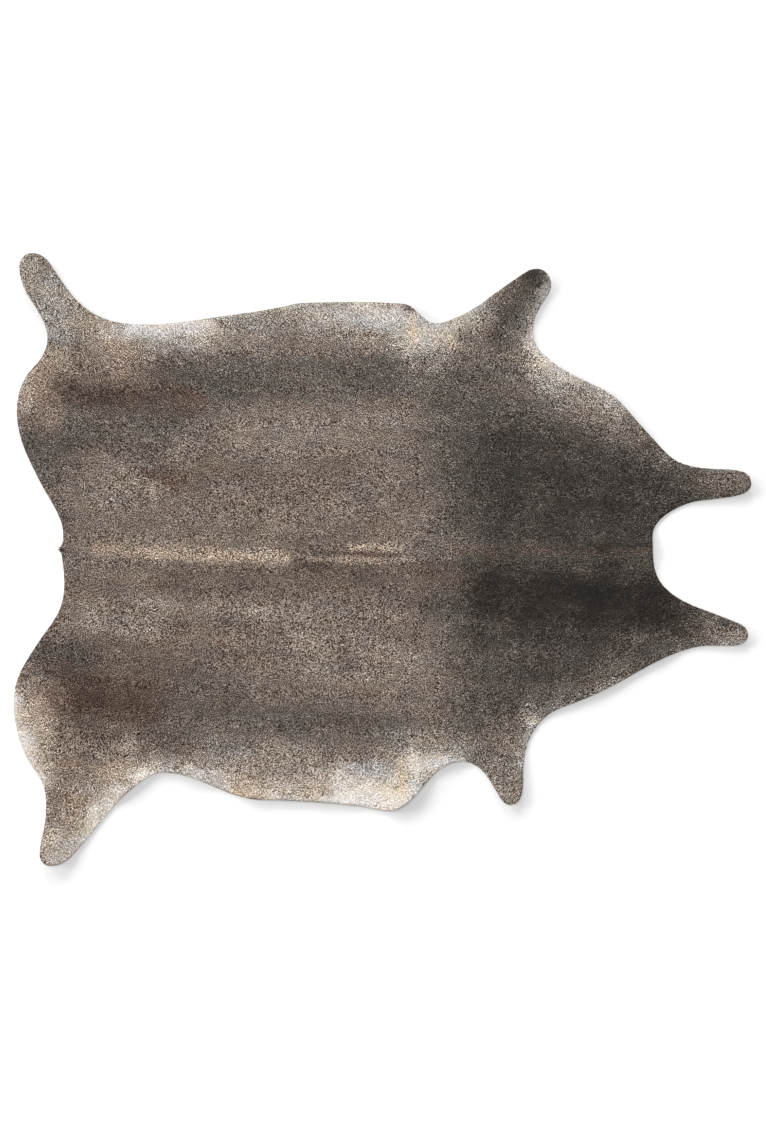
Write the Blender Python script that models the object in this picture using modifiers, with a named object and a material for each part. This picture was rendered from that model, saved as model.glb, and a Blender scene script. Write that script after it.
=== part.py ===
"""A whole cowhide rug lying on the floor, hair side up.

It is one skin, cut along its own outline: two hind shanks, two fore shanks, belly edges, a neck with two cheek flaps,
and the stub of the tail. +X runs from the tail to the neck, +Y across the hide and +Z up. The floor is at z = 0.
"""

import math

import bmesh
import bpy

CM = 0.01

# The tanned skin with its hair lying flat on it. Over the last RIM_WIDTH, where the hair falls over the cut edge, it
# thins to RIM_SHARE of that.
SKIN_THICKNESS = 0.0015
LYING_HAIR = 0.0035
RIM_WIDTH = 0.008
RIM_SHARE = 0.5

# How finely the sheet is divided: EDGE_STEPS along the edge from one row of the outline to the next, squares of about
# CELL inside, and a cut at FOLD_SIDE to either side of each long fold, with no other cut within CUT_APART. A corner
# within CUT_REACH of a cut counts as on it.
EDGE_STEPS = 6
CELL = 0.045
FOLD_LINES = (2.5 * CM, 49.5 * CM)
FOLD_SIDE = 0.02
CUT_APART = 0.02
CUT_REACH = 0.002

HAIR_COLOUR = (0.20, 0.165, 0.14, 1.0)
HAIR_ROUGHNESS = 0.75

# The cut edge, clockwise from the tail. A row is where it passes, in cm along the hide from its middle and in cm
# across it, and which way it runs there, in degrees.
RUMP_UPPER = (
    ("beside the tail", -102.0, 6.5, 90),
    ("hollow of the rump", -103.0, 13.0, 112),
    ("rump", -109.5, 25.0, 117),
    ("buttock", -116.0, 40.5, 104),
    ("back of the thigh", -114.0, 58.5, 60),
)
HIND_SHANK_UPPER = (
    ("above the hock", -109.5, 64.0, 56),
    ("hollow of the hock", -107.0, 71.0, 90),
    ("back of the shank", -111.0, 81.0, 122),
    ("heel", -116.0, 93.5, 90),
    ("end of the shank", -112.0, 98.0, 0),
    ("toe", -106.5, 95.0, 304),
    ("front of the thigh", -93.0, 79.0, 329),
)
BELLY_UPPER = (
    ("hollow of the flank", -82.5, 75.5, 353),
    ("start of the belly", -53.5, 77.5, 8),
    ("rise of the belly", -31.0, 81.0, 12),
    ("top of the belly", -26.0, 82.0, 2),
    ("end of the belly", 4.0, 82.0, 356),
    ("corner of the belly", 9.0, 81.0, 327),
    ("hollow of the elbow", 17.0, 75.5, 0),
)
FORE_SHANK_UPPER = (
    ("back of the arm", 24.0, 77.5, 23),
    ("middle of the arm", 34.5, 84.0, 37),
    ("above the knee", 44.5, 91.0, 34),
    ("end of the shank", 49.5, 93.0, 0),
    ("toe", 54.0, 88.0, 270),
    ("front of the shank", 50.5, 81.0, 238),
    ("armpit", 51.0, 66.0, 317),
)
NECK_UPPER = (
    ("point of the shoulder", 60.0, 59.5, 330),
    ("shoulder", 76.0, 50.5, 315),
    ("side of the neck", 84.0, 41.5, 314),
    ("front of the neck", 91.5, 33.5, 316),
    ("start of the cheek", 96.5, 30.5, 341),
    ("cheek", 105.5, 29.0, 356),
    ("tip of the cheek", 118.0, 24.5, 270),
    ("underside of the cheek", 110.5, 20.0, 187),
    ("root of the cheek", 102.5, 19.0, 185),
    ("side of the throat", 92.5, 15.5, 211),
    ("throat", 87.0, 10.0, 246),
)
NECK_LOWER = (
    ("nape", 86.5, 4.5, 270),
    ("throat", 90.0, -8.5, 312),
    ("cheek", 110.5, -19.0, 337),
    ("tip of the cheek", 117.0, -24.0, 270),
    ("underside of the cheek", 112.0, -27.5, 180),
    ("root of the cheek", 104.0, -27.5, 182),
    ("front of the neck", 95.0, -29.5, 199),
    ("shoulder", 69.5, -42.5, 205),
    ("point of the shoulder", 57.0, -47.5, 201),
)
FORE_SHANK_LOWER = (
    ("armpit", 46.0, -60.5, 255),
    ("front of the shank", 45.0, -69.0, 270),
    ("end of the shank", 41.0, -78.5, 180),
    ("heel", 36.5, -74.0, 122),
    ("back of the shank", 33.0, -68.5, 126),
    ("hollow of the elbow", 18.5, -67.0, 220),
)
BELLY_LOWER = (
    ("corner of the belly", 9.0, -77.0, 224),
    ("front of the belly", 2.0, -80.5, 180),
    ("dip in the belly", -7.0, -79.0, 172),
    ("middle of the belly", -31.0, -77.0, 176),
    ("end of the belly", -42.5, -76.5, 171),
    ("hollow of the flank", -70.0, -68.0, 180),
)
HIND_SHANK_LOWER = (
    ("front of the thigh", -78.0, -71.5, 217),
    ("front of the shank", -98.0, -93.5, 229),
    ("end of the shank", -106.0, -98.0, 180),
    ("heel", -109.5, -94.5, 90),
    ("back of the shank", -107.5, -81.0, 90),
    ("hollow of the hock", -108.5, -72.0, 112),
    ("above the hock", -113.0, -64.5, 120),
)
RUMP_LOWER = (
    ("back of the thigh", -117.0, -53.5, 103),
    ("buttock", -115.5, -35.5, 63),
    ("rump", -109.0, -25.0, 56),
    ("hollow of the rump", -103.0, -15.5, 69),
    ("beside the tail", -102.5, 1.5, 98),
    ("stub of the tail", -103.0, 3.5, 80),
)
OUTLINE = (
    RUMP_UPPER + HIND_SHANK_UPPER + BELLY_UPPER + FORE_SHANK_UPPER + NECK_UPPER
    + NECK_LOWER + FORE_SHANK_LOWER + BELLY_LOWER + HIND_SHANK_LOWER + RUMP_LOWER
)

# Where the skin doesn't lie down. Each row is a soft ridge from one point to another, in cm as above, with its reach
# to either side and its height in cm. The crease of the upper flank is the low line between two of them.
RIDGES = (
    ("back, over the rump", -101.0, 3.5, -62.0, 2.0, 8.0, 0.5),
    ("back, over the loin", -62.0, 2.0, -18.0, 1.5, 8.0, 0.7),
    ("back, over the ribs", -18.0, 1.5, 18.0, 2.5, 9.0, 0.8),
    ("back, over the withers", 18.0, 2.5, 84.0, 3.5, 8.0, 0.6),
    ("above the crease, haunch", -99.0, 57.0, -50.0, 60.0, 9.0, 0.5),
    ("above the crease, ribs", -50.0, 60.0, 6.0, 60.5, 10.0, 0.6),
    ("below the crease, haunch", -98.0, 40.5, -42.0, 38.5, 10.0, 0.4),
    ("below the crease, ribs", -42.0, 38.5, 6.0, 39.5, 10.0, 0.5),
    ("lower flank, haunch", -99.0, -43.0, -52.0, -47.0, 10.0, 0.5),
    ("lower flank, ribs", -52.0, -47.0, 4.0, -50.0, 11.0, 0.5),
    ("behind the shoulder, upper", 12.0, 57.0, 19.0, 18.0, 10.0, 0.5),
    ("behind the shoulder, lower", 17.0, -16.0, 11.0, -52.0, 10.0, 0.5),
    ("haunch, upper", -88.0, 20.0, -68.0, 27.0, 15.0, 0.3),
    ("haunch, lower", -89.0, -17.0, -66.0, -23.0, 15.0, 0.3),
    ("shoulder blade, upper", 40.0, 42.0, 62.0, 27.0, 16.0, 0.4),
    ("shoulder blade, lower", 42.0, -33.0, 64.0, -20.0, 14.0, 0.3),
    ("ripple at the belly, upper", 10.0, 85.0, 13.0, 66.0, 7.0, 1.1),
    ("ripple at the elbow, upper", 24.0, 80.0, 23.0, 66.0, 7.0, 0.8),
    ("ripple at the belly, lower", 7.0, -83.0, 10.0, -64.0, 7.0, 1.2),
    ("ripple at the elbow, lower", 22.0, -70.0, 21.0, -57.0, 7.0, 0.7),
    ("edge of the belly, upper", -48.0, 80.0, -8.0, 85.0, 9.0, 0.7),
    ("edge of the flank, upper", -92.0, 79.0, -66.0, 77.0, 9.0, 0.6),
    ("edge of the belly, lower", -40.0, -80.0, -12.0, -82.0, 9.0, 0.8),
    ("edge of the flank, lower", -80.0, -74.0, -60.0, -70.0, 9.0, 0.6),
    ("hind shank, upper", -101.0, 72.0, -112.0, 88.0, 9.0, 0.7),
    ("hind foot, upper", -112.0, 88.0, -113.0, 99.0, 8.0, 1.1),
    ("hind shank, lower", -98.0, -72.0, -104.0, -88.0, 9.0, 0.7),
    ("hind foot, lower", -104.0, -88.0, -107.0, -99.0, 8.0, 1.2),
    ("fore shank, upper", 38.0, 76.0, 50.0, 92.0, 8.0, 0.9),
    ("fore shank, lower", 38.0, -62.0, 41.0, -79.0, 7.0, 0.9),
    ("cheek, upper", 101.0, 25.0, 119.0, 24.5, 7.0, 0.8),
    ("cheek, lower", 100.0, -21.5, 118.0, -24.0, 7.0, 0.7),
    ("buttock, upper", -119.0, 36.0, -118.0, 56.0, 9.0, 0.7),
    ("buttock, lower", -120.0, -38.0, -119.0, -58.0, 9.0, 0.7),
    ("edge of the shoulder, upper", 60.0, 62.0, 86.0, 44.0, 8.0, 0.6),
    ("edge of the shoulder, lower", 58.0, -51.0, 92.0, -34.0, 8.0, 0.6),
)
# How sharply a ridge stands out of one that it crosses: 1 adds their heights, and more keeps nearer to the higher.
CROSSING = 3.0


def clear_scene():
    for old in list(bpy.data.objects):
        bpy.data.objects.remove(old, do_unlink=True)


def lift(x, y):
    """How high the underside of the skin lies above the floor, in metres, at a point in metres."""
    height = 0.0
    for _, x_from, y_from, x_to, y_to, reach, rise in RIDGES:
        along_x, along_y = (x_to - x_from) * CM, (y_to - y_from) * CM
        off_x, off_y = x - x_from * CM, y - y_from * CM
        share = (off_x * along_x + off_y * along_y) / (along_x**2 + along_y**2)
        share = min(max(share, 0.0), 1.0)
        away = math.hypot(off_x - share * along_x, off_y - share * along_y) / (reach * CM)
        if away < 1.0:
            height += (rise * CM * (1.0 - away**2) ** 2) ** CROSSING
    return height ** (1.0 / CROSSING)


def edge_curve():
    """The outline as a flat filled curve. Each handle is as long as an arc between the two headings needs."""
    curve = bpy.data.curves.new("hide_outline", "CURVE")
    curve.dimensions = "2D"
    curve.fill_mode = "BOTH"
    curve.resolution_u = EDGE_STEPS
    spline = curve.splines.new("BEZIER")
    spline.bezier_points.add(len(OUTLINE) - 1)
    spline.use_cyclic_u = True
    points = spline.bezier_points
    for point, (_, x, y, _) in zip(points, OUTLINE):
        point.co = (x * CM, y * CM, 0.0)
        point.handle_left_type = point.handle_right_type = "FREE"
    for index, (*_, heading) in enumerate(OUTLINE):
        ahead = (index + 1) % len(OUTLINE)
        leave, arrive = math.radians(heading), math.radians(OUTLINE[ahead][3])
        turn = (arrive - leave + math.pi) % (2.0 * math.pi) - math.pi
        start, end = points[index].co, points[ahead].co
        reach = (end - start).length / 3.0 / math.cos(turn / 4.0) ** 2
        points[index].handle_right = (
            start.x + reach * math.cos(leave), start.y + reach * math.sin(leave), 0.0
        )
        points[ahead].handle_left = (
            end.x - reach * math.cos(arrive), end.y - reach * math.sin(arrive), 0.0
        )
    return bpy.data.objects.new("hide_outline", curve)


def flat_sheet(collection):
    """The outline as one flat face in a bmesh, centred on the origin and facing up."""
    guide = edge_curve()
    collection.objects.link(guide)
    evaluated = guide.evaluated_get(bpy.context.evaluated_depsgraph_get())
    mesh = bpy.data.meshes.new_from_object(evaluated)
    sheet = bmesh.new()
    sheet.from_mesh(mesh)
    bpy.data.meshes.remove(mesh)
    bpy.data.objects.remove(guide, do_unlink=True)
    bmesh.ops.dissolve_faces(sheet, faces=sheet.faces[:])
    xs = [v.co.x for v in sheet.verts]
    ys = [v.co.y for v in sheet.verts]
    middle = (-(min(xs) + max(xs)) / 2.0, -(min(ys) + max(ys)) / 2.0, 0.0)
    bmesh.ops.translate(sheet, verts=sheet.verts[:], vec=middle)
    if sheet.faces[:][0].normal.z < 0.0:
        bmesh.ops.reverse_faces(sheet, faces=sheet.faces[:])
    return sheet


def cut_places(low, high, folds=()):
    """Where the sheet is divided along one axis: even steps, and two lines beside each fold."""
    count = math.ceil((high - low) / CELL)
    even = [low + (high - low) * n / count for n in range(1, count)]
    beside = [fold + side for fold in folds for side in (-FOLD_SIDE, FOLD_SIDE)]
    clear = [place for place in even if all(abs(place - line) > CUT_APART for line in beside)]
    return clear + beside


def divide(sheet):
    """Cuts the sheet into small faces inside its rim, so that it can bend."""
    bmesh.ops.inset_region(sheet, faces=sheet.faces[:], thickness=RIM_WIDTH, use_even_offset=True)
    xs = [v.co.x for v in sheet.verts]
    ys = [v.co.y for v in sheet.verts]
    cuts = [((x, 0.0, 0.0), (1.0, 0.0, 0.0)) for x in cut_places(min(xs), max(xs))]
    cuts += [((0.0, y, 0.0), (0.0, 1.0, 0.0)) for y in cut_places(min(ys), max(ys), FOLD_LINES)]
    for place, normal in cuts:
        everything = sheet.verts[:] + sheet.edges[:] + sheet.faces[:]
        bmesh.ops.bisect_plane(
            sheet, geom=everything, dist=CUT_REACH, plane_co=place, plane_no=normal
        )
    bmesh.ops.triangulate(sheet, faces=sheet.faces[:])


def hair_material():
    material = bpy.data.materials.new("cow_hair")
    material.use_nodes = True
    shader = material.node_tree.nodes["Principled BSDF"]
    shader.inputs["Base Color"].default_value = HAIR_COLOUR
    shader.inputs["Roughness"].default_value = HAIR_ROUGHNESS
    shader.inputs["Metallic"].default_value = 0.0
    return material


def hide(collection):
    """The skin: the divided sheet, raised at its ridges, and thickened upwards with a thinner rim."""
    sheet = flat_sheet(collection)
    divide(sheet)
    for v in sheet.verts:
        v.co.z = lift(v.co.x, v.co.y)
    sheet.verts.index_update()
    inside = [v.index for v in sheet.verts if not v.is_boundary]
    mesh = bpy.data.meshes.new("hide")
    sheet.to_mesh(mesh)
    sheet.free()
    mesh.materials.append(hair_material())
    mesh.shade_smooth()
    skin = bpy.data.objects.new("hide", mesh)
    collection.objects.link(skin)
    skin.vertex_groups.new(name="inside").add(inside, 1.0, "REPLACE")
    thicken = skin.modifiers.new("thickness", "SOLIDIFY")
    thicken.thickness = SKIN_THICKNESS + LYING_HAIR
    thicken.offset = 1.0
    thicken.vertex_group = "inside"
    thicken.thickness_vertex_group = RIM_SHARE
    return skin


def main():
    clear_scene()
    collection = bpy.data.collections.new("cowhide_rug")
    bpy.context.scene.collection.children.link(collection)
    hide(collection)


main()
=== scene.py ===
import math
from collections import namedtuple

import bmesh
import bpy
import numpy as np
from mathutils import Matrix, Vector
from mathutils.bvhtree import BVHTree


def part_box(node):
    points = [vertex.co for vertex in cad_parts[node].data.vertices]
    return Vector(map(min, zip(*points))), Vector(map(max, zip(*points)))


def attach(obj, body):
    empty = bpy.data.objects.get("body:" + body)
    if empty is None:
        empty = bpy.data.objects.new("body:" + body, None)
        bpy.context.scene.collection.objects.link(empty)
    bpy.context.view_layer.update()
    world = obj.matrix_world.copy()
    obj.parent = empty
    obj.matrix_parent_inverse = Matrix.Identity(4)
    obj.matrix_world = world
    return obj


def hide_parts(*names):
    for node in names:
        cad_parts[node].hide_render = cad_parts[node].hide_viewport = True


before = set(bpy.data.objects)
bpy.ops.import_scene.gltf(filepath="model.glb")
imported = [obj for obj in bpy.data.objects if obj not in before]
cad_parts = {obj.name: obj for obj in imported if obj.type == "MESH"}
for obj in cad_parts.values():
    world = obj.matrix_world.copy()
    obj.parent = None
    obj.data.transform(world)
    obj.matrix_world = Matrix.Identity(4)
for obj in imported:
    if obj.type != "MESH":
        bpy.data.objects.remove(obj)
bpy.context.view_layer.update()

# A whole cowhide rug, hair side up, on a pale studio floor, seen from straight above. The tanned
# skin is a thin sheet with a suede underside. The coat is short locks of hair that lie along the
# lie of the hair, in the colours of a roan hide: dark shoulders, a taupe back and pale belly edges.
# Places and lengths in tables are in cm.
CM = 0.01
MM = 0.001

Stroke = namedtuple("Stroke", "place x_from y_from x_to y_to half_width softness coat strength")
Limb = namedtuple("Limb", "place x_from y_from x_to y_to reach")
Waves = namedtuple("Waves", "count shortest longest stretch height")

# The picture's frame in pixels, the length of floor that one pixel shows, and the floor at the
# frame's middle
FRAME_PIXELS = (766, 1142)
PIXEL = 3.2 * MM
FRAME_MIDDLE = (0.2 * CM, -3.65 * CM)

# The camera's height in metres, and its sensor in mm
CAMERA_HEIGHT = 9.0
SENSOR = 36.0

# The broad key light, from the upper left, which falls on the rug alone. Lights stand in metres.
KEY_STRENGTH = 5.4
KEY_SPREAD = math.radians(50.0)
KEY_FROM = (-3.0, 3.1, 2.0)

# The top light and the low lights, which fall on the floor alone. The low ones draw the soft shadow.
TOP_STRENGTH = 2.3
TOP_SPREAD = math.radians(60.0)
TOP_FROM = (-0.4, 0.4, 3.0)
LOW_STRENGTH = 12.0
LOW_SPREAD = math.radians(18.0)
LOW_FROM = ((-4.2, 0.9, 0.38), (-3.0, 3.1, 0.38), (-0.6, 4.2, 0.38))

# The white fill from all round
FILL_STRENGTH = 0.8

# The floor's tone, half its side in metres, and how far it lies below the hide
FLOOR_TONE = 0.405
FLOOR_SIZE = 12.0
FLOOR_DROP = 0.3 * MM

# How much brighter than its own colour hair looks under these lights, and how much of that pale
# hair loses where locks shade one another
LIT = 1.22
PALE_LOSS = 0.65

# How much red, green and blue are changed because hair also looks a little colder than its colour
WARMER = (1.012, 1.0, 0.965)

# The palest that hair may be
PALEST = 0.92

# The skin is cut this far inside the solid's edge, because the hair falls over its own edge.
SKIN_THICKNESS = 1.5 * MM
SKIN_TRIM = 1.5 * MM

# The cells that the skin is divided into, the cuts within a cell, how near a cut a point counts as
# on it, and the rounds of smoothing
SKIN_CELL = 4.8 * CM
SKIN_CUTS = 3
CUT_REACH = 2.0 * MM
SMOOTHINGS = 12

# Points nearer than this are one point.
WELD = 0.01 * MM

# Locks of hair: how far apart their roots are, and the range of each size
ROOT_SPACING = 3.96 * MM
LOCK_LENGTH = (10.0 * MM, 16.0 * MM)
LOCK_WIDTH = (2.8 * MM, 4.4 * MM)
LOCK_RISE = (0.8 * MM, 1.6 * MM)

# The crest's height over its lock and its place along it, and how deep the roots stand in the skin
LOCK_CREST = 0.32 * MM
CREST_PLACE = 0.3
ROOT_DEPTH = 0.4 * MM

# How unevenly locks point
LOCK_SWAY = math.radians(15.0)

# How much a lock is shortened, step by step, until its tip lies inside the hide's edge
SHORTENED = (0.7, 0.45, 0.25)

# How far all the hair stays above the floor
FLOOR_GAP = 0.1 * MM

# The dark tuft where the tail was cut off, whose locks may stand out past the edge: its middle and
# reach, and how much of the locks' sway it keeps
TAIL = (-102.0, 3.4)
TUFT_REACH = 1.0
TUFT_SWAY = 0.5

# How much whole locks differ in tone for each unit of mottling, how far out of the ordinary one may
# be, and how much paler tips are than roots
LOCK_TONE = 0.5
TONE_LIMIT = 2.3
TIP_TONE = 0.15

# How much the fine grain inside locks differs in tone for each unit of mottling, how fine it is, and
# the least share of the colour that it leaves. That limit makes the whole paler, by this share.
GRAIN = 9.0
GRAIN_SCALE = 330.0
DARKEST = 0.08
CUT_LIFT = 0.5

# How much of a lock's or a grain's difference in tone is the same grey for every colour of coat
GREY_SHARE = 0.65

# How far a hair takes the whole colour of one stroke or the other where the two meet
MIXED = 0.38

# The warm tint of the hair's sheen
SHEEN_TINT = (1.0, 0.8, 0.62, 1.0)

# Where every random draw starts from
SEED = 2036

# The pieces that the hair is made in, from tail to neck
HAIR_PIECES = ("hair_rump", "hair_loin", "hair_ribs", "hair_withers", "hair_shoulder", "hair_neck")

# A lock's place in its square cell of the map that its colours are baked to: the margin all round,
# and the corners of its underside
CELL_MARGIN = 0.06
CELL_UNDERSIDE = ((0.94, 0.05), (0.5, 0.05), (0.94, 0.34))

# How far along the map of strands, in cm, each lock starts after the last
STRAND_STEP = 2.0

# Hair colours as the eye sees them, red, green and blue from 0 to 255, and how mottled each is
COATS = {
    "taupe": (125, 112, 101, 0.23),
    "light taupe": (142, 130, 119, 0.22),
    "warm taupe": (121, 103, 89, 0.23),
    "brown taupe": (108, 94, 82, 0.23),
    "grey brown": (96, 88, 80, 0.31),
    "slate brown": (83, 74, 68, 0.38),
    "dark grey": (64, 56, 49, 0.50),
    "black brown": (43, 33, 23, 0.64),
    "black": (24, 18, 12, 0.6),
    "brown": (93, 69, 51, 0.36),
    "deep brown": (70, 47, 31, 0.42),
    "smoke": (156, 151, 148, 0.11),
    "warm tan": (150, 132, 117, 0.18),
    "tan": (168, 148, 131, 0.16),
    "sand": (172, 160, 151, 0.10),
    "straw": (180, 163, 143, 0.14),
    "pale grey": (187, 184, 184, 0.035),
    "cream": (211, 208, 209, 0.015),
    "ginger cream": (212, 190, 167, 0.05),
    "blue cream": (196, 198, 200, 0.04),
}
GROUND_COAT = "taupe"

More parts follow.
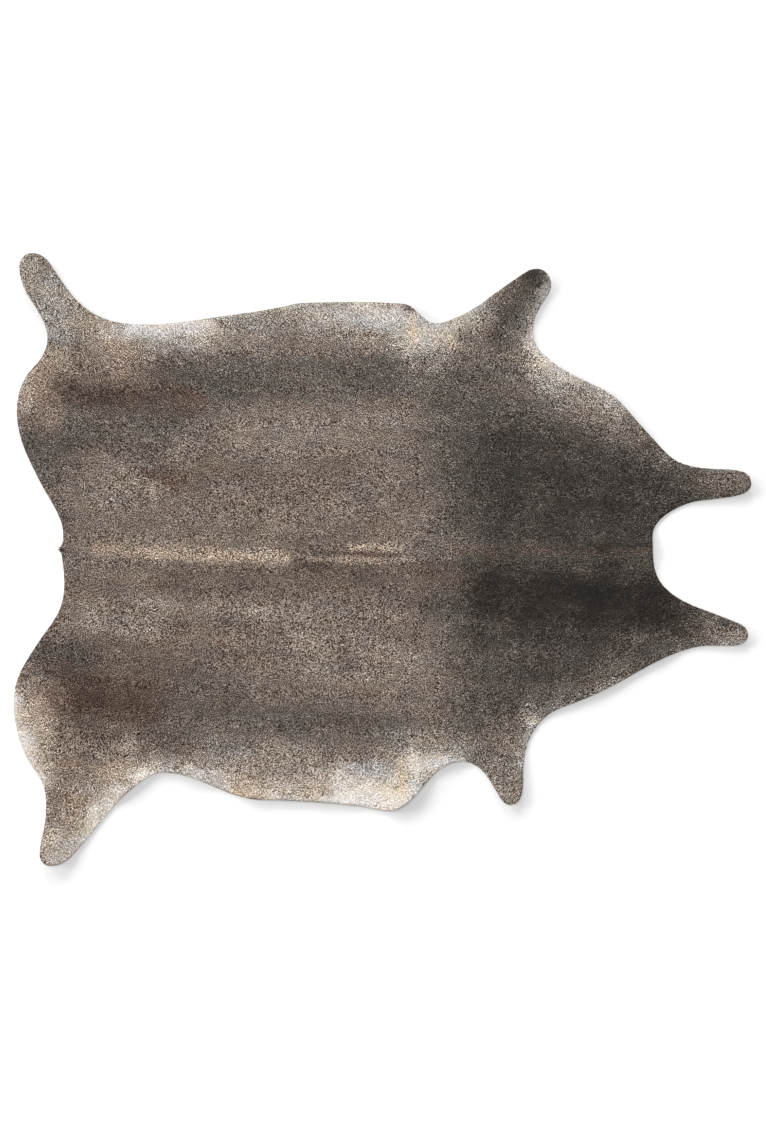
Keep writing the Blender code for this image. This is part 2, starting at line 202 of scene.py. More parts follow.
# Soft strokes of colour, laid one over another on the ground coat, each from one point to another
# along and across the hide, with half the stroke's width, how softly it ends, its coat and its
# strength
STROKES = (
    ("front", 62, 42, 62, -34, 41, 20, "grey brown", 1.0),
    ("neck", 62, 0, 104, -2, 36, 18, "grey brown", 1.0),
    ("behind the shoulder, upper", 18, 62, 20, 32, 9, 12, "grey brown", 0.65),
    ("elbow shade, upper", 21, 66, 25, 56, 4, 7, "slate brown", 0.4),
    ("shoulder, upper", 46, 28, 74, 22, 19, 14, "dark grey", 1.0),
    ("neck, middle", 38, 10, 90, 9, 5, 5, "dark grey", 0.8),
    ("neck, upper", 76, 16, 92, 14, 11, 12, "dark grey", 0.85),
    ("shoulder grey, upper", 44, 52, 82, 36, 5, 10, "taupe", 0.5),
    ("shoulder, lower", 46, -34, 74, -26, 12, 14, "slate brown", 0.9),
    ("nape, behind", 20, -10, 42, -18, 9, 11, "slate brown", 0.7),
    ("nape, under", 34, -20, 60, -22, 5, 9, "dark grey", 0.7),
    ("nape", 36, -9.5, 88, -13.5, 8, 7, "black brown", 0.95),
    ("nape, deep", 60, -10, 84, -12, 4.5, 7, "black", 0.6),
    ("nape, top", 42, -3.5, 88, -4, 2.6, 5, "dark grey", 0.6),
    ("nape, low", 44, -18, 72, -20, 4, 8, "black brown", 0.55),
    ("cheek, lower", 84, -17, 100, -22, 5.5, 6, "black brown", 0.55),
    ("cheek top, lower", 98, -13.5, 113, -19.5, 2.4, 4, "dark grey", 0.7),
    ("cheek tip, lower", 106, -24, 117, -25, 5, 7, "light taupe", 0.9),
    ("cheek tip, upper", 109, 25, 118, 25, 4.5, 7, "taupe", 0.85),
    ("back, neck", 22, 2.8, 92, 2.6, 1.3, 2.0, "brown", 0.45),
    # Painted shade: a dark line where the back of the neck creases.
    ("shade in the crease of the neck", 66, 4.6, 86, 4.4, 0.4, 1.0, "black brown", 0.6),
    ("band, upper", -66, 57.5, 8, 57, 7.6, 4.0, "grey brown", 0.7),
    ("band, soft, haunch", -60, 63, -46, 64, 4, 8, "grey brown", 0.4),
    ("band, haunch", -66, 60.5, -46, 60, 5.5, 8, "slate brown", 0.6),
    ("band, ribs", -10, 61, 4, 60, 4.5, 8, "slate brown", 0.3),
    ("under the band, upper", -60, 48.5, -46, 48, 2.6, 5, "grey brown", 0.7),
    ("thigh, upper", -98, 66, -84, 60, 8, 8, "warm taupe", 0.6),
    ("buttock, light, upper", -110, 65, -103, 63, 2.6, 6, "sand", 0.6),
    ("light of the thigh, upper", -86, 67, -66, 68.5, 3.4, 6, "light taupe", 0.5),
    ("tan of the thigh", -92, 73, -83, 61, 4.4, 6, "tan", 0.95),
    ("brown of the thigh", -104, 52, -62, 50.5, 4.6, 4.5, "brown", 0.95),
    ("brown of the thigh, deep", -102, 51, -84, 50, 2.2, 4, "deep brown", 0.6),
    ("brown of the thigh, soft", -90, 60, -68, 58, 3.6, 8, "brown taupe", 0.5),
    ("below the brown", -104, 45, -66, 45.5, 4.0, 7, "grey brown", 0.8),
    ("haunch, upper", -96, 42, -70, 38, 6, 9, "grey brown", 0.65),
    ("thigh base, upper", -103, 70, -90, 71.5, 3, 5, "grey brown", 0.35),
    ("haunch shade, upper", -99, 36, -76, 34.5, 3, 6, "brown taupe", 0.5),
    ("spot of the haunch", -65.4, 63.2, -64.8, 63, 1.6, 2.4, "taupe", 0.6),
    ("tan of the buttock", -110, 60, -106, 45, 3.8, 6, "warm tan", 0.8),
    ("thigh edge, upper", -113.5, 66, -114.5, 50, 3.4, 5, "sand", 0.75),
    ("edge of the rump, upper", -113, 36, -98, 36, 4.4, 6, "slate brown", 0.8),
    ("corner of the rump, upper", -108, 32, -102, 26, 3.5, 6, "grey brown", 0.75),
    ("edge of the rump, middle", -111, 38, -101.5, 9, 2.4, 4, "grey brown", 0.8),
    ("ribs, upper", -46, 42, 4, 42, 6, 9, "light taupe", 0.55),
    ("ribs, upper, light", -42, 36, -30, 34.5, 4, 7, "light taupe", 0.8),
    ("ribs, brown", -68, 27.5, -12, 27.5, 3.4, 6, "brown taupe", 0.6),
    ("ribs, warm", -72, 19, -16, 19, 3, 6, "warm taupe", 0.35),
    ("whorl", -76, 29, -72.5, 26.8, 0.9, 1.6, "brown", 0.75),
    ("whorl, end", -73, 25.8, -65, 24.8, 2.2, 3.0, "brown", 0.8),
    ("light of the whorl", -73.6, 23.5, -72.4, 17, 1.2, 2.2, "sand", 0.55),
    ("loin, upper", -90, 27, -80, 22, 6, 7, "light taupe", 0.5),
    ("loin, low light", -46, 15, -22, 14, 3, 4, "light taupe", 0.3),
    ("over the back, ribs", -24, 8, 4, 8, 2.4, 4, "brown taupe", 0.35),
    # Under the back, the far side of the spine's ridge is darker hair together with painted shade, where
    # it faces away from the light.
    ("under the back", -72, -6, 22, -6.5, 4.6, 5.5, "brown taupe", 0.75),
    ("gap in the stripe", -26, 2.4, -14, 3.0, 3.5, 4, "brown taupe", 0.7),
    ("dark of the gap", -26, -2.5, -18, -3, 1.8, 3, "brown", 0.5),
    # The back stripes are pale hair along the spine and painted highlight on the top of the spine's
    # ridge, which faces the light.
    ("back stripe and ridge highlight, rump", -90, 3.0, -72, 2.0, 1.9, 2.8, "straw", 0.7),
    ("back stripe and ridge highlight, loin", -72, 2.2, -50, 1.3, 2.1, 2.4, "straw", 0.75),
    ("back stripe and ridge highlight, behind the gap", -50, 1.0, -30.5, 0.8, 1.9, 2.0, "straw", 0.8),
    ("back stripe and ridge highlight, ribs, upper", -9, 3.9, 6.5, 3.9, 1.1, 1.6, "straw", 0.75),
    ("back stripe and ridge highlight, ribs, lower", -23, 0.1, 10, -0.2, 0.7, 1.3, "straw", 0.55),
    # Painted shade in the creases along the spine's ridge.
    ("shade in the crease of the gap, upper", -22, 1.9, -12, 1.8, 0.3, 0.9, "black brown", 0.7),
    ("shade in the crease of the gap, lower", -24, -1.8, -16, -1.6, 0.3, 0.9, "black brown", 0.5),
    ("shade in the crease of the ribs", -9, 1.7, 7, 1.8, 0.45, 0.9, "brown", 0.9),
    ("back stripe and ridge highlight, shoulder", 8, 2.4, 24, 2.4, 1.5, 2.6, "light taupe", 0.5),
    ("light under the back", -66, -15, -15, -17, 2.4, 3.5, "light taupe", 0.7),
    ("loin, lower", -92, -17.5, -74, -18.5, 5.4, 6, "light taupe", 1.0),
    ("rump shade, lower", -100, -9, -86, -11, 4, 7, "brown taupe", 0.35),
    ("ribs, lower, warm", -68, -24, -32, -28, 6, 8, "warm taupe", 0.4),
    ("ribs, lower, light", -24, -30, 12, -35, 9, 11, "light taupe", 0.75),
    ("haunch, lower", -90, -32, -66, -36, 5.5, 7, "brown taupe", 0.9),
    ("haunch, lower, front", -66, -40, -46, -43, 4.5, 8, "grey brown", 0.6),
    ("edge of the rump, lower", -111, -31, -98, -32, 5, 6, "slate brown", 1.0),
    ("brown of the haunch", -103, -42, -76, -46, 7.2, 8, "brown", 0.95),
    ("brown of the haunch, deep", -101, -43, -90, -45, 3.0, 5, "deep brown", 0.5),
    ("band, lower", -64, -48.5, 6, -53.5, 6, 8, "grey brown", 0.6),
    ("band, lower, dark", -34, -51, -12, -52, 3, 6, "slate brown", 0.35),
    ("haunch grey, lower", -70, -56, -58, -57, 4, 7, "grey brown", 0.6),
    ("tan of the buttock, lower", -112, -39, -108, -50, 3.4, 5, "tan", 0.75),
    ("tan of the haunch, lower", -107, -38, -102, -43, 2.8, 5, "warm tan", 0.5),
    ("foot, upper", -113, 97, -104, 76, 8, 8, "smoke", 0.95),
    ("shank, upper", -107, 84, -102, 74, 6, 8, "smoke", 0.5),
    ("shank front, upper", -100, 84, -86, 76, 2.2, 5, "sand", 0.6),
    ("flank, soft, upper", -52, 68, -40, 71, 5, 7, "light taupe", 0.8),
    ("flank edge, soft, upper", -87, 72.5, -57, 71.5, 4.4, 6, "pale grey", 0.65),
    ("flank edge, upper", -79, 75, -58, 75.6, 3.6, 4.0, "cream", 0.9),
    ("belly edge, soft, upper", -50, 76, -32, 80, 4, 8, "smoke", 0.5),
    ("belly edge, upper", -52, 79, -28, 83, 3.6, 6, "pale grey", 0.75),
    ("belly, upper grey", -46, 74, -26, 76, 4, 8, "smoke", 0.45),
    ("belly, soft, upper", -20, 79, 8, 75, 6, 8, "pale grey", 0.75),
    ("belly, upper", -8, 81, 4, 79.5, 3.4, 5, "cream", 0.6),
    ("belly corner, upper", 3, 75, 12, 69.5, 3.4, 5, "pale grey", 0.45),
    ("elbow, soft, upper", 11, 67.5, 18, 68, 4.6, 7, "pale grey", 0.8),
    ("arm root, upper", 24, 70, 42, 82, 6.5, 8, "light taupe", 0.8),
    ("elbow, upper", 14.5, 71.5, 21, 71.5, 3.6, 4.5, "pale grey", 0.85),
    ("ginger of the arm, upper", 21.8, 70, 23, 67.5, 0.8, 1.8, "ginger cream", 0.6),
    ("ginger of the corner", 9.6, 77, 10.8, 69.5, 0.9, 1.6, "ginger cream", 0.5),
    ("blue of the corner", 13.4, 77, 13.2, 73, 1.3, 2, "blue cream", 0.6),
    ("streak behind the shoulder", 12, 66, 11, 44, 2.4, 6, "light taupe", 0.3),
    ("arm, upper", 26, 74, 36, 80, 3.4, 6, "smoke", 0.2),
    ("arm edge, upper", 18, 78, 28, 79.5, 5.2, 5, "pale grey", 0.9),
    ("arm edge, soft, upper", 29, 82, 38, 89, 2.6, 5, "smoke", 0.45),
    ("arm base, upper", 31, 66.5, 47, 65.5, 6, 7, "light taupe", 0.75),
    ("fore shank, upper", 37, 71, 49, 91, 3.6, 5, "grey brown", 0.85),
    ("fore tip, upper", 48, 91, 50, 89.5, 1.8, 3.0, "dark grey", 0.8),
    ("fore edge, upper", 54.5, 89, 50, 73, 3.2, 4.5, "pale grey", 0.9),
    ("armpit, soft, upper", 49, 72, 55, 60, 7, 8, "smoke", 0.8),
    ("armpit, upper", 51, 72, 56, 60, 4.4, 5, "cream", 0.9),
    ("shoulder edge, soft, upper", 54, 57, 76, 47, 5.6, 8, "smoke", 0.7),
    ("neck edge, soft, upper", 64, 53, 82, 43, 5.0, 7, "taupe", 0.8),
    ("shoulder edge, upper", 61, 58.5, 76, 50.5, 3.4, 5, "pale grey", 0.7),
    ("neck edge, upper", 66, 55.5, 79, 47.5, 2.8, 5, "smoke", 0.8),
    ("buttock edge, lower", -119.5, -47, -115, -62, 6.2, 5, "cream", 0.95),
    ("thigh edge, soft, lower", -111, -52, -107.5, -68, 5.4, 6, "sand", 1.0),
    ("thigh edge, lower", -115, -58, -110, -72, 3.2, 4, "cream", 0.9),
    ("shank edge, lower", -108.5, -74, -108, -90, 2.2, 4, "sand", 0.8),
    ("shank body, lower", -99, -60, -100, -80, 4.5, 7, "warm tan", 0.85),
    ("light of the thigh, lower", -82, -59, -80, -62, 2.4, 4, "sand", 0.65),
    ("thigh front, lower", -86, -66, -83, -68, 2.2, 5, "ginger cream", 0.5),
    ("spot of the thigh, lower", -85.2, -66, -84.7, -66.2, 0.3, 0.5, "slate brown", 0.8),
    ("shank front, soft, lower", -86, -68, -97, -84, 6.4, 8, "sand", 0.85),
    ("shank front, lower", -84, -77, -99, -97, 4.8, 5.5, "cream", 0.9),
    ("foot, lower", -104, -92, -104, -99, 6.5, 6, "sand", 0.95),
    ("foot, pale, lower", -100, -92, -101, -99, 5, 6, "pale grey", 0.75),
    ("flank, soft, lower", -68, -64, -56, -66, 3, 6, "smoke", 0.5),
    ("flank edge, lower", -74, -70.5, -46, -74.5, 5.8, 6, "cream", 0.9),
    ("belly grey, soft, lower", -52, -62, -20, -63, 6, 10, "smoke", 0.6),
    ("belly grey, lower", -44, -72, -13, -72, 5.8, 8, "sand", 0.85),
    ("belly edge, lower", -36, -80, -12, -80.5, 4.4, 6, "cream", 0.9),
    ("belly, soft, lower", -10, -69, 4, -66, 3.4, 6, "pale grey", 0.75),
    ("belly, lower", -13, -78.5, 8, -76, 7.4, 6, "cream", 0.9),
    ("elbow, soft, lower", 6, -60, 26, -60, 5.5, 8, "smoke", 0.7),
    ("elbow, lower", 11, -65, 23, -65, 3.6, 4.5, "cream", 0.8),
    ("ginger of the arm, lower", 17.5, -62.5, 19.5, -63, 0.8, 1.8, "ginger cream", 0.6),
    ("ginger of the belly, lower", 6, -65, 7.4, -76, 1.1, 2, "ginger cream", 0.45),
    ("blue of the belly, lower", 11.5, -68, 12, -73, 1.8, 2.5, "blue cream", 0.7),
    ("arm edge, lower", 19, -69, 33, -72, 3.6, 5.5, "pale grey", 0.8),
    ("fore base, lower", 35, -51, 46, -54, 4, 7, "taupe", 0.5),
    ("fore foot, lower", 41, -59, 42, -77, 6.4, 6, "light taupe", 0.95),
    ("fore foot, pale, lower", 36, -66, 42, -77, 4.4, 5, "smoke", 0.5),
    ("fore edge, lower", 48, -51, 45.5, -66, 2.6, 4.5, "pale grey", 0.75),
    ("armpit, soft, lower", 50, -46, 58, -43, 3, 6, "taupe", 0.3),
    ("armpit, lower", 51, -51, 58, -48, 1.8, 4, "pale grey", 0.7),
    ("armpit shade, lower", 53, -38, 60, -36, 3, 6, "slate brown", 0.4),
    ("shoulder edge, soft, lower", 60, -42, 78, -34, 3.2, 7, "light taupe", 0.25),
    ("shoulder edge, lower", 57, -50, 80, -38.5, 2, 4, "pale grey", 0.7),
    ("cheek edge, lower", 98, -31, 117, -29, 3.2, 5, "smoke", 0.75),
    ("cheek edge, upper", 90, 33.5, 114, 29, 1.4, 3.5, "smoke", 0.5),
    ("tail", -103, 3.2, -102, 3.1, 0.7, 0.6, "black brown", 1.0),
    ("tail, roots", -101.6, 2.9, -98.6, 2.3, 0.25, 0.6, "black brown", 0.6),
)

# Limbs, down which the hair runs: from the root to the tip, and how far to the side their lie is
# felt
LIMBS = (
    ("hind shank, upper", -96, 66, -112, 97, 12),
    ("hind shank, lower", -94, -62, -105, -97, 13),
    ("fore shank, upper", 34, 68, 50, 92, 11),
    ("fore shank, lower", 36, -56, 41, -78, 10),
)

# How many reaches from a limb its pull on the lie of the hair ends
LIMB_PULL = 1.5

# The line of the back, how far the hair turns outwards from it in the end, and how far out that is
BACK_LINE = 3.0
OUTWARD_TURN = math.radians(62.0)
OUTWARD_REACH = 95.0

# Wandering of the strokes' edges, of the coat's warmth and tone, and of the lie of the hair
EDGE_WANDER = Waves(16, 3.5, 14.0, 1.3, 0.8)
WARMTH = Waves(16, 5.0, 20.0, 1.8, 0.016)
FINE_MOTTLE = Waves(40, 1.6, 5.0, 1.5, 0.03)
BROAD_MOTTLE = Waves(18, 5.0, 16.0, 2.6, 0.028)
LIE_WANDER = Waves(12, 8.0, 30.0, 1.2, math.radians(9.0))

# What a warmer place does to red, green and blue
WARM_SHIFT = (0.5, 0.0, -1.0)

# How steeply a stroke fades across its softness, and the softness from which its edge wanders in full
FADE = 4.0
LOOSE_BLUR = 6.0

# The lower side's hair lies away from the light, so the coat is made lighter by this share for each
# cm towards it.
SIDE_TONE = 0.0008

# Suede of the underside: its two colours, and how fine its clouds and its nap are
SUEDE_PALE = (0.60, 0.52, 0.43, 1.0)
SUEDE_DARK = (0.47, 0.39, 0.31, 1.0)
CLOUD_SCALE = 9.0
NAP_SCALE = 900.0


def to_linear(colour):
    """The light that a shader works with, for colours as the eye sees them, from 0 to 255."""
    share = np.clip(colour / 255.0, 0.0, 1.0)
    return np.where(share <= 0.04045, share / 12.92, ((share + 0.055) / 1.055) ** 2.4)


def hair_colour(seen, mottled):
    """The hair's own colour, for hair that is to look like the colour seen once its grain is on it."""
    light = to_linear(seen * WARMER)
    tone = light.mean(axis=1, keepdims=True)
    lift = 1.0 + CUT_LIFT * np.maximum(GRAIN * mottled - (1.0 - DARKEST), 0.0)
    return np.clip(light * (1.0 + PALE_LOSS * tone**2) / (LIT * lift[:, None]), 0.0, PALEST)


def wander(x, y, spec, seed):
    """A smooth random field over the hide, as a sum of waves of unlike directions and lengths."""
    draw = np.random.default_rng(SEED + seed)
    total = np.zeros(np.shape(x))
    for _ in range(spec.count):
        length = math.exp(draw.uniform(math.log(spec.shortest), math.log(spec.longest)))
        turn, start = draw.uniform(0.0, math.tau), draw.uniform(0.0, math.tau)
        across = math.cos(turn) * x / spec.stretch + math.sin(turn) * y
        total += np.sin(math.tau * across / length + start)
    return total * spec.height * math.sqrt(2.0 / spec.count)


def away_from_line(x, y, line):
    """How far places lie from the straight line of a stroke or a limb."""
    along_x, along_y = line.x_to - line.x_from, line.y_to - line.y_from
    share = ((x - line.x_from) * along_x + (y - line.y_from) * along_y) / (along_x**2 + along_y**2)
    share = np.clip(share, 0.0, 1.0)
    return np.hypot(x - line.x_from - share * along_x, y - line.y_from - share * along_y)


def coat_at(x, y, chance):
    """The coat at places in cm: its colour as seen, and its mottling.

    Where a stroke fades out, its hairs and the hairs below it stand mixed. Chance, from 0 to 1 for each
    stroke and place, settles which of the two grows there.
    """
    wide, deep = wander(x, y, EDGE_WANDER, 1), wander(x, y, EDGE_WANDER, 2)
    coat = np.ones(np.shape(x) + (4,)) * COATS[GROUND_COAT]
    for number, row in enumerate(STROKES):
        stroke = Stroke(*row)
        loose = min(stroke.softness / LOOSE_BLUR, 1.0)
        away = away_from_line(x + wide * loose, y + deep * loose, stroke)
        fade = np.clip((away - stroke.half_width) * FADE / stroke.softness, -40.0, 40.0)
        weight = stroke.strength / (1.0 + np.exp(fade))
        weight += MIXED * ((chance[number] < weight) - weight)
        coat += weight[:, None] * (np.array(COATS[stroke.coat]) - coat)
    mottle = wander(x, y, FINE_MOTTLE, 3) + wander(x, y, BROAD_MOTTLE, 4)
    depth = coat[:, 3] / COATS[GROUND_COAT][3]
    warmer = wander(x, y, WARMTH, 6)[:, None] * np.array(WARM_SHIFT)
    # The mottling is the coat's own tone; the side tone is painted light, paler towards the lower side.
    lighter = (mottle * depth - SIDE_TONE * y)[:, None]
    return coat[:, :3] * (1.0 + lighter + warmer), coat[:, 3]


def lie_at(x, y):
    """Which way the hair lies at places in cm, in radians: to the tail, outwards and down the limbs."""
    off = y - BACK_LINE
    turn = OUTWARD_TURN * np.clip(np.abs(off) / OUTWARD_REACH, 0.0, 1.0)
    heading = math.pi - np.sign(off) * turn
    lie_x, lie_y = np.cos(heading), np.sin(heading)
    for row in LIMBS:
        limb = Limb(*row)
        weight = np.clip(LIMB_PULL - away_from_line(x, y, limb) / limb.reach, 0.0, 1.0)
        length = math.hypot(limb.x_to - limb.x_from, limb.y_to - limb.y_from)
        lie_x = lie_x + weight * ((limb.x_to - limb.x_from) / length - lie_x)
        lie_y = lie_y + weight * ((limb.y_to - limb.y_from) / length - lie_y)
    return np.arctan2(lie_y, lie_x) + wander(x, y, LIE_WANDER, 5)


def node(tree, kind, values=None, **settings):
    """A new node with its settings, and with values on its named or numbered inputs."""
    made = tree.nodes.new(kind)
    for name, setting in settings.items():
        setattr(made, name, setting)
    for socket, value in (values or {}).items():
        made.inputs[socket].default_value = value
    return made


def grain_group():
    """Shared effect: breaks a colour into fine light and dark grain, and gives the grain's height too."""
    group = bpy.data.node_groups.new("fine_grain", "ShaderNodeTree")
    sockets = (
        ("Colour", "INPUT", "NodeSocketColor"),
        ("Depth", "INPUT", "NodeSocketFloat"),
        ("Scale", "INPUT", "NodeSocketFloat"),
        ("Light", "INPUT", "NodeSocketFloat"),
        ("Colour", "OUTPUT", "NodeSocketColor"),
        ("Height", "OUTPUT", "NodeSocketFloat"),
    )
    for name, way, kind in sockets:
        group.interface.new_socket(name, in_out=way, socket_type=kind)
    taken, given = node(group, "NodeGroupInput"), node(group, "NodeGroupOutput")
    place = node(group, "ShaderNodeTexCoord")
    noise = node(group, "ShaderNodeTexNoise", {"Detail": 1.0})
    ends = {"From Min": 0.44, "From Max": 0.56, "To Min": -GRAIN, "To Max": GRAIN}
    spread = node(group, "ShaderNodeMapRange", ends)
    shade = node(group, "ShaderNodeMath", {2: 1.0}, operation="MULTIPLY_ADD")
    least = node(group, "ShaderNodeMath", {1: DARKEST}, operation="MAXIMUM")
    # The Light input scales the colour: below 1 it darkens it as painted shade.
    dim = node(group, "ShaderNodeMath", operation="MULTIPLY")
    scaled = node(group, "ShaderNodeVectorMath", operation="SCALE")
    grey = node(group, "ShaderNodeRGBToBW")
    hue = node(group, "ShaderNodeVectorMath", operation="SUBTRACT")
    share = node(group, "ShaderNodeMath", {1: GREY_SHARE, 2: -GREY_SHARE}, operation="MULTIPLY_ADD")
    greyed = node(group, "ShaderNodeVectorMath", operation="SCALE")
    toned = node(group, "ShaderNodeVectorMath", operation="ADD")
    for given_by, wanted_by in (
        (place.outputs["Object"], noise.inputs["Vector"]),
        (taken.outputs["Scale"], noise.inputs["Scale"]),
        (noise.outputs["Fac"], spread.inputs["Value"]),
        (noise.outputs["Fac"], given.inputs["Height"]),
        (spread.outputs["Result"], shade.inputs[0]),
        (taken.outputs["Depth"], shade.inputs[1]),
        (shade.outputs["Value"], least.inputs[0]),
        (least.outputs["Value"], dim.inputs[0]),
        (taken.outputs["Light"], dim.inputs[1]),
        (taken.outputs["Colour"], scaled.inputs[0]),
        (dim.outputs["Value"], scaled.inputs["Scale"]),
        (taken.outputs["Colour"], grey.inputs["Color"]),
        (grey.outputs["Val"], hue.inputs[0]),
        (taken.outputs["Colour"], hue.inputs[1]),
        (dim.outputs["Value"], share.inputs[0]),
        (hue.outputs["Vector"], greyed.inputs[0]),
        (share.outputs["Value"], greyed.inputs["Scale"]),
        (scaled.outputs["Vector"], toned.inputs[0]),
        (greyed.outputs["Vector"], toned.inputs[1]),
        (toned.outputs["Vector"], given.inputs["Colour"]),
    ):
        group.links.new(given_by, wanted_by)
    return group


def new_material(name, values):
    """A material of one Principled shader with these values, with its node tree and its shader."""
    material = bpy.data.materials.new(name)
    material.use_nodes = True
    shader = material.node_tree.nodes["Principled BSDF"]
    for socket, value in values.items():
        shader.inputs[socket].default_value = value
    return material, material.node_tree, shader


def coat_on(tree, grain):
    """Feeds a piece's own coat colour, and its mottling, to a grain node."""
    coat = node(tree, "ShaderNodeAttribute", attribute_name="coat")
    tree.links.new(coat.outputs["Color"], grain.inputs["Colour"])
    tree.links.new(coat.outputs["Alpha"], grain.inputs["Depth"])


def hair_material(group):
    """Cow hair: each lock's own colour in roan grain, with fine strands along it and a soft sheen."""
    sheen = {"Sheen Weight": 0.04, "Sheen Roughness": 0.5, "Sheen Tint": SHEEN_TINT}
    values = {"Specular IOR Level": 0.12, **sheen}
    material, tree, shader = new_material("cow_hair", values)
    grain = node(tree, "ShaderNodeGroup", {"Scale": GRAIN_SCALE, "Light": 1.0}, node_tree=group)
    coat_on(tree, grain)
    strands = node(tree, "ShaderNodeUVMap", uv_map="strands")
    stretch = node(tree, "ShaderNodeMapping", {"Scale": (1.5, 12.0, 1.0)})
    streaks = node(tree, "ShaderNodeTexNoise", {"Scale": 1.0, "Detail": 1.0})
    ends = {"From Min": 0.3, "From Max": 0.7, "To Min": 0.6, "To Max": 0.8}
    gloss = node(tree, "ShaderNodeMapRange", ends)
    bump = node(tree, "ShaderNodeBump", {"Strength": 0.35, "Distance": 0.3 * MM})
    for given_by, wanted_by in (
        (grain.outputs["Colour"], shader.inputs["Base Color"]),
        (strands.outputs["UV"], stretch.inputs["Vector"]),
        (stretch.outputs["Vector"], streaks.inputs["Vector"]),
        (streaks.outputs["Fac"], gloss.inputs["Value"]),
        (gloss.outputs["Result"], shader.inputs["Roughness"]),
        (streaks.outputs["Fac"], bump.inputs["Height"]),
        (bump.outputs["Normal"], shader.inputs["Normal"]),
    ):
        tree.links.new(given_by, wanted_by)
    return material


def hair_root_material(group):
    """The skin's upper face under the hair: the coat's colour dimmed to 0.6 of its light, as painted
    shade from the hair that covers it.
    """
    material, tree, shader = new_material("shaded_hair_roots", {"Roughness": 0.9})
    grain = node(tree, "ShaderNodeGroup", {"Scale": GRAIN_SCALE, "Light": 0.6}, node_tree=group)
    coat_on(tree, grain)
    bump = node(tree, "ShaderNodeBump", {"Strength": 0.5, "Distance": 0.3 * MM})
    tree.links.new(grain.outputs["Colour"], shader.inputs["Base Color"])
    tree.links.new(grain.outputs["Height"], bump.inputs["Height"])
    tree.links.new(bump.outputs["Normal"], shader.inputs["Normal"])
    return material


def suede_material(group):
    """The tanned underside and cut edge: cloudy beige suede with a fine nap."""
    values = {"Roughness": 0.95, "Specular IOR Level": 0.2, "Sheen Weight": 0.4, "Sheen Roughness": 0.6}
    material, tree, shader = new_material("suede", values)
    place = node(tree, "ShaderNodeTexCoord")
    clouds = node(tree, "ShaderNodeTexNoise", {"Scale": CLOUD_SCALE, "Detail": 4.0})
    colours = node(tree, "ShaderNodeMix", {"A": SUEDE_DARK, "B": SUEDE_PALE}, data_type="RGBA")
    fine = {"Scale": NAP_SCALE, "Light": 1.0, "Depth": 0.02}
    nap = node(tree, "ShaderNodeGroup", fine, node_tree=group)
    bump = node(tree, "ShaderNodeBump", {"Strength": 0.4, "Distance": 0.2 * MM})
    for given_by, wanted_by in (
        (place.outputs["Object"], clouds.inputs["Vector"]),
        (clouds.outputs["Fac"], colours.inputs["Factor"]),
        (colours.outputs["Result"], nap.inputs["Colour"]),
        (nap.outputs["Colour"], shader.inputs["Base Color"]),
        (nap.outputs["Height"], bump.inputs["Height"]),
        (bump.outputs["Normal"], shader.inputs["Normal"]),
    ):
        tree.links.new(given_by, wanted_by)
    return material


def new_object(name, data):
    """A new object of a mesh, light or camera, in the scene."""
    made = bpy.data.objects.new(name, data)
    bpy.context.scene.collection.objects.link(made)
    return made


def set_coat(mesh, colour, mottled, tone=1.0):
    """Gives each point of a mesh its hair colour and, as its alpha, how mottled it is."""
    coat = mesh.attributes.new("coat", "FLOAT_COLOR", "POINT")
    hair = hair_colour(colour, mottled) * tone
    coat.data.foreach_set("color", np.hstack([hair, mottled[:, None]]).ravel())


def below(tree, x, y):
    """Which places have a mesh's tree straight below, and its heights and normals there."""
    down = Vector((0.0, 0.0, -1.0))
    hits = [tree.ray_cast(Vector((place_x, place_y, 1.0)), down) for place_x, place_y in zip(x, y)]
    met = np.array([hit[0] is not None for hit in hits])
    heights = np.array([hit[0].z for hit in hits if hit[0]])
    normals = np.array([hit[1] for hit in hits if hit[0]])
    return met, heights, normals


def hide_solid():
    """A copy of the hide's solid, with its loose triangles merged."""
    solid = bmesh.new()
    solid.from_mesh(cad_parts["hide"].data)
    bmesh.ops.remove_doubles(solid, verts=solid.verts[:], dist=WELD)
    return solid


def cut_outline(solid):
    """The flat outline of the solid's underside, trimmed by the width that the hair falls over."""
    sheet = solid.copy()
    sheet.normal_update()
    rest = [face for face in sheet.faces if face.normal.z > -0.5]
    bmesh.ops.delete(sheet, geom=rest, context="FACES")
    for vert in sheet.verts:
        vert.co.z = 0.0
    bmesh.ops.dissolve_faces(sheet, faces=sheet.faces[:])
    bmesh.ops.reverse_faces(sheet, faces=sheet.faces[:])
    rim = bmesh.ops.inset_region(sheet, faces=sheet.faces[:], thickness=SKIN_TRIM, use_even_offset=True)
    bmesh.ops.delete(sheet, geom=rim["faces"], context="FACES")
    return sheet


def divide(sheet):
    """Cuts the flat sheet into cells and those into small faces, so that it can follow the folds."""
    low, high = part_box("hide")
    for axis in (0, 1):
        for number in range(1, int((high[axis] - low[axis]) / SKIN_CELL) + 1):
            place, normal = Vector((0.0, 0.0, 0.0)), Vector((0.0, 0.0, 0.0))
            place[axis], normal[axis] = low[axis] + number * SKIN_CELL, 1.0
            everything = sheet.verts[:] + sheet.edges[:] + sheet.faces[:]
            plane = {"dist": CUT_REACH, "plane_co": place, "plane_no": normal}
            bmesh.ops.bisect_plane(sheet, geom=everything, **plane)
    bmesh.ops.triangulate(sheet, faces=sheet.faces[:])
    bmesh.ops.subdivide_edges(sheet, edges=sheet.edges[:], cuts=SKIN_CUTS, use_grid_fill=True)


def lay_on_folds(sheet, tree):
    """Raises the sheet to the underside of the solid's folds, and smooths it."""
    up = Vector((0.0, 0.0, 1.0))
    for vert in sheet.verts:
        hit = tree.ray_cast(Vector((vert.co.x, vert.co.y, -1.0)), up)[0]
        vert.co.z = hit.z if hit else 0.0
    for _ in range(SMOOTHINGS):
        bmesh.ops.smooth_vert(sheet, verts=sheet.verts[:], factor=0.5, use_axis_z=True)


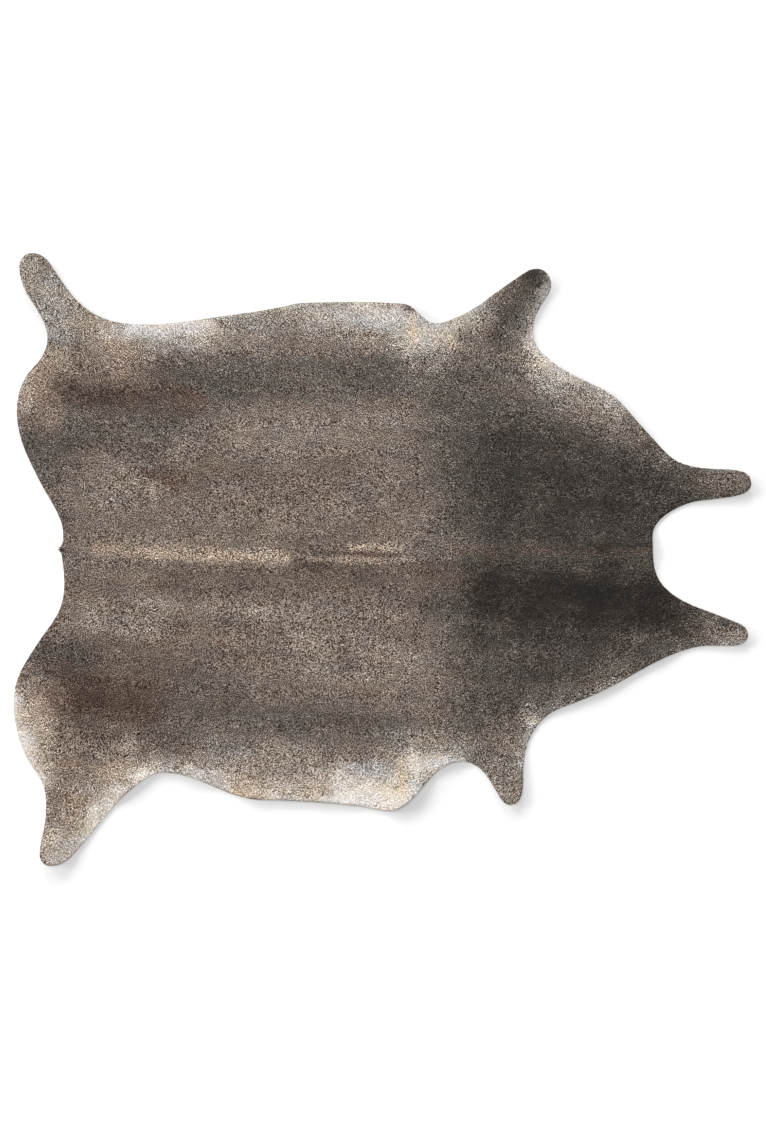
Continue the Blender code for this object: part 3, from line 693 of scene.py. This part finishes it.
def skin(sheet, materials):
    """The tanned skin: the sheet, thickened upwards, with hair roots on top and suede below."""
    mesh = bpy.data.meshes.new("skin")
    sheet.to_mesh(mesh)
    mesh.shade_smooth()
    places = np.array([vert.co[:2] for vert in sheet.verts]) / CM
    colour, mottled = coat_at(places[:, 0], places[:, 1], np.full(len(STROKES), 0.5))
    set_coat(mesh, colour, mottled)
    for material in materials:
        mesh.materials.append(material)
    piece = new_object("skin", mesh)
    thicken = piece.modifiers.new("thickness", "SOLIDIFY")
    thicken.thickness = SKIN_THICKNESS
    thicken.offset = 1.0
    thicken.material_offset = 1
    thicken.material_offset_rim = 1
    return piece


def lock_form():
    """The points and faces of one lock of hair: a three-sided cone along X, from its root to its tip.

    It is 1 long, and 1 wide at its root at 0, and its crest stands 1 high over it.
    """
    lock = bmesh.new()
    bmesh.ops.create_cone(lock, cap_ends=True, segments=3, radius1=1.0, radius2=0.0, depth=1.0)
    bmesh.ops.remove_doubles(lock, verts=lock.verts[:], dist=WELD)
    quarter = math.radians(90.0)
    turn = Matrix.Rotation(quarter, 3, "Y") @ Matrix.Rotation(quarter, 3, "Z")
    bmesh.ops.rotate(lock, verts=lock.verts[:], cent=(0.0, 0.0, 0.0), matrix=turn)
    bmesh.ops.scale(lock, verts=lock.verts[:], vec=(1.0, 1.0 / math.sqrt(3.0), 2.0 / 3.0))
    bmesh.ops.translate(lock, verts=lock.verts[:], vec=(0.5, 0.0, 1.0 / 3.0))
    crest = max(lock.verts, key=lambda vert: vert.co.z)
    bmesh.ops.translate(lock, verts=[crest], vec=(CREST_PLACE, 0.0, 0.0))
    bmesh.ops.recalc_face_normals(lock, faces=lock.faces[:])
    lock.verts.index_update()
    points = np.array([vert.co[:] for vert in lock.verts])
    faces = np.array([[vert.index for vert in face.verts] for face in lock.faces])
    lock.free()
    return points, faces


def lock_roots(sheet):
    """Where locks root on the skin: rows of triangles, each root a little off its place."""
    draw = np.random.default_rng(SEED)
    low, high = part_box("hide")
    row_step = ROOT_SPACING * math.sqrt(3.0) / 2.0
    rows, columns = int((high[1] - low[1]) / row_step), int((high[0] - low[0]) / ROOT_SPACING)
    row, column = np.mgrid[0:rows, 0:columns]
    x = low[0] + (column + 0.5 * (row % 2) + draw.uniform(-0.5, 0.5, row.shape)) * ROOT_SPACING
    y = low[1] + row * row_step + draw.uniform(-0.5, 0.5, row.shape) * ROOT_SPACING
    x, y = x.ravel(), y.ravel()
    met, heights, normals = below(BVHTree.FromBMesh(sheet), x, y)
    return x[met], y[met], heights + SKIN_THICKNESS - ROOT_DEPTH, normals


def grow_locks(sheet, tree):
    """The root, heading and sizes of every lock, shortened where it would reach past the hide's edge."""
    x, y, height, slope = lock_roots(sheet)
    draw = np.random.default_rng(SEED + 8)
    count = len(x)
    sway = draw.normal(0.0, 1.0, count) * LOCK_SWAY
    tuft = np.hypot(x / CM - TAIL[0], y / CM - TAIL[1]) < TUFT_REACH
    sway[tuft] *= TUFT_SWAY
    heading = lie_at(x / CM, y / CM) + sway
    length = draw.uniform(*LOCK_LENGTH, count)
    width = draw.uniform(*LOCK_WIDTH, count)
    rise = draw.uniform(*LOCK_RISE, count)
    for share in SHORTENED:
        inside, _, _ = below(tree, x + length * np.cos(heading), y + length * np.sin(heading))
        shorten = ~inside & ~tuft
        length[shorten] *= share
        rise[shorten] *= share
    root = np.stack([x, y, height], 1)
    sizes = {"length": length, "width": width, "rise": rise}
    return {"root": root, "slope": slope, "heading": heading, **sizes}


def lock_points(points, locks):
    """Every point of every lock, along its heading on the slope of the skin and clear of the floor."""
    ahead_x, ahead_y = np.cos(locks["heading"]), np.sin(locks["heading"])
    slope = locks["slope"]
    fall = -(slope[:, 0] * ahead_x + slope[:, 1] * ahead_y) / slope[:, 2]
    lean = (slope[:, 0] * ahead_y - slope[:, 1] * ahead_x) / slope[:, 2]
    along = np.stack([ahead_x, ahead_y, fall], 1)[:, None, :]
    side = np.stack([-ahead_y, ahead_x, lean], 1)[:, None, :]
    placed = locks["root"][:, None, :] + (locks["length"][:, None] * points[:, 0])[..., None] * along
    placed = placed + (locks["width"][:, None] * points[:, 1])[..., None] * side
    placed[..., 2] += locks["rise"][:, None] * points[:, 0] + LOCK_CREST * points[:, 2]
    placed[..., 2] = np.maximum(placed[..., 2], FLOOR_GAP)
    return placed.reshape(-1, 3)


def cell_map(points, faces, count):
    """Corner places on a map that gives each lock a square cell, with its upper faces side by side."""
    inner = 1.0 - 2.0 * CELL_MARGIN
    corners = np.stack([CELL_MARGIN + inner * points[faces, 0], 0.5 + inner * points[faces, 1]], -1)
    under = [number for number, face in enumerate(faces) if points[face, 2].max() < 0.5]
    corners[under] = CELL_UNDERSIDE
    across = math.ceil(math.sqrt(count))
    cell = np.stack([np.arange(count) % across, np.arange(count) // across], 1)
    return (cell[:, None, None, :] + corners[None]).reshape(-1, 2) / across


def strand_map(points, faces, locks):
    """Corner places along each lock and across it, in cm, each lock further along than the last."""
    start = STRAND_STEP * np.arange(len(locks["length"]))[:, None, None]
    along = locks["length"][:, None, None] * points[faces, 0] / CM + start
    across = locks["width"][:, None, None] * points[faces, 1] / CM
    return np.stack([along, across], -1).reshape(-1, 2)


def hair_piece(name, locks, colour, mottled, material):
    """One mesh of many locks, each a copy of the same form."""
    points, faces = lock_form()
    count, ends = len(locks["length"]), len(points)
    mesh = bpy.data.meshes.new(name)
    every_face = faces[None] + ends * np.arange(count)[:, None, None]
    mesh.from_pydata(lock_points(points, locks), [], every_face.reshape(-1, 3))
    mesh.shade_smooth()
    tone = 1.0 + TIP_TONE * (np.tile(points[:, 0], count) - 0.5)[:, None]
    set_coat(mesh, np.repeat(colour, ends, axis=0), np.repeat(mottled, ends), tone)
    for map_name, places in (
        ("OFBake", cell_map(points, faces, count)),
        ("strands", strand_map(points, faces, locks)),
    ):
        mesh.uv_layers.new(name=map_name).data.foreach_set("uv", places.ravel())
    mesh.materials.append(material)
    return new_object(name, mesh)


def coat_of_hair(sheet, tree, material):
    """All the hair, as pieces of about as many locks each, from the rump to the neck."""
    locks = grow_locks(sheet, tree)
    x, y = locks["root"][:, 0] / CM, locks["root"][:, 1] / CM
    draw = np.random.default_rng(SEED + 9)
    colour, mottled = coat_at(x, y, draw.random((len(STROKES), len(x))))
    drawn = np.clip(draw.normal(0.0, 1.0, len(x)), -TONE_LIMIT, TONE_LIMIT)
    tone = (drawn * mottled * LOCK_TONE)[:, None]
    grey = colour.mean(axis=1, keepdims=True)
    colour = colour + tone * (GREY_SHARE * grey + (1.0 - GREY_SHARE) * colour)
    ends = np.quantile(x, np.linspace(0.0, 1.0, len(HAIR_PIECES) + 1))
    part = np.clip(np.searchsorted(ends, x, side="right") - 1, 0, len(HAIR_PIECES) - 1)
    made = []
    for number, name in enumerate(HAIR_PIECES):
        these = {what: values[part == number] for what, values in locks.items()}
        piece = hair_piece(name, these, colour[part == number], mottled[part == number], material)
        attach(piece, "root")
        made.append(piece)
    return made


def hide_rug():
    """The whole rug: the skin in the place of its solid, and the hair on it."""
    solid = hide_solid()
    tree = BVHTree.FromBMesh(solid)
    sheet = cut_outline(solid)
    divide(sheet)
    lay_on_folds(sheet, tree)
    group = grain_group()
    skin_piece = skin(sheet, (hair_root_material(group), suede_material(group)))
    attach(skin_piece, "root")
    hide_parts("hide")
    hair = coat_of_hair(sheet, tree, hair_material(group))
    area = sum(face.calc_area() for face in sheet.faces)
    sheet.free()
    solid.free()
    return [skin_piece, *hair]


def lamp(name, strength, spread, place, pieces):
    """A broad light that shines on these pieces alone, from a place towards the hide's middle."""
    light = bpy.data.lights.new(name, "SUN")
    light.energy = strength
    light.angle = spread
    made = new_object(name, light)
    made.location = place
    made.rotation_euler = made.location.to_track_quat("Z", "Y").to_euler()
    lit = bpy.data.collections.new("lit_by_" + name)
    for piece in pieces:
        lit.objects.link(piece)
    made.light_linking.receiver_collection = lit


def studio(rug):
    """A pale floor, the lights of the rug and of the floor, and a soft fill."""
    plate = bmesh.new()
    bmesh.ops.create_grid(plate, x_segments=1, y_segments=1, size=FLOOR_SIZE)
    mesh = bpy.data.meshes.new("floor")
    plate.to_mesh(mesh)
    plate.free()
    floor = new_object("floor", mesh)
    floor.location.z = -FLOOR_DROP
    paper = {"Base Color": (FLOOR_TONE, FLOOR_TONE, FLOOR_TONE, 1.0), "Roughness": 0.9}
    mesh.materials.append(new_material("floor_paper", paper)[0])
    lamp("key", KEY_STRENGTH, KEY_SPREAD, KEY_FROM, rug)
    lamp("top", TOP_STRENGTH, TOP_SPREAD, TOP_FROM, [floor])
    for number, place in enumerate(LOW_FROM):
        lamp(f"low_{number}", LOW_STRENGTH, LOW_SPREAD, place, [floor])
    world = bpy.data.worlds.new("studio")
    world.use_nodes = True
    world.node_tree.nodes["Background"].inputs["Color"].default_value = (1.0, 1.0, 1.0, 1.0)
    world.node_tree.nodes["Background"].inputs["Strength"].default_value = FILL_STRENGTH
    bpy.context.scene.world = world


def camera():
    """A long lens straight above, framed as the picture is."""
    lens = bpy.data.cameras.new("camera")
    lens.sensor_fit = "AUTO"
    lens.sensor_width = SENSOR
    lens.lens = SENSOR * CAMERA_HEIGHT / (max(FRAME_PIXELS) * PIXEL)
    eye = new_object("camera", lens)
    eye.location = (*FRAME_MIDDLE, CAMERA_HEIGHT)
    bpy.context.scene.camera = eye


studio(hide_rug())
camera()
bpy.context.scene.view_settings.view_transform = "Standard"
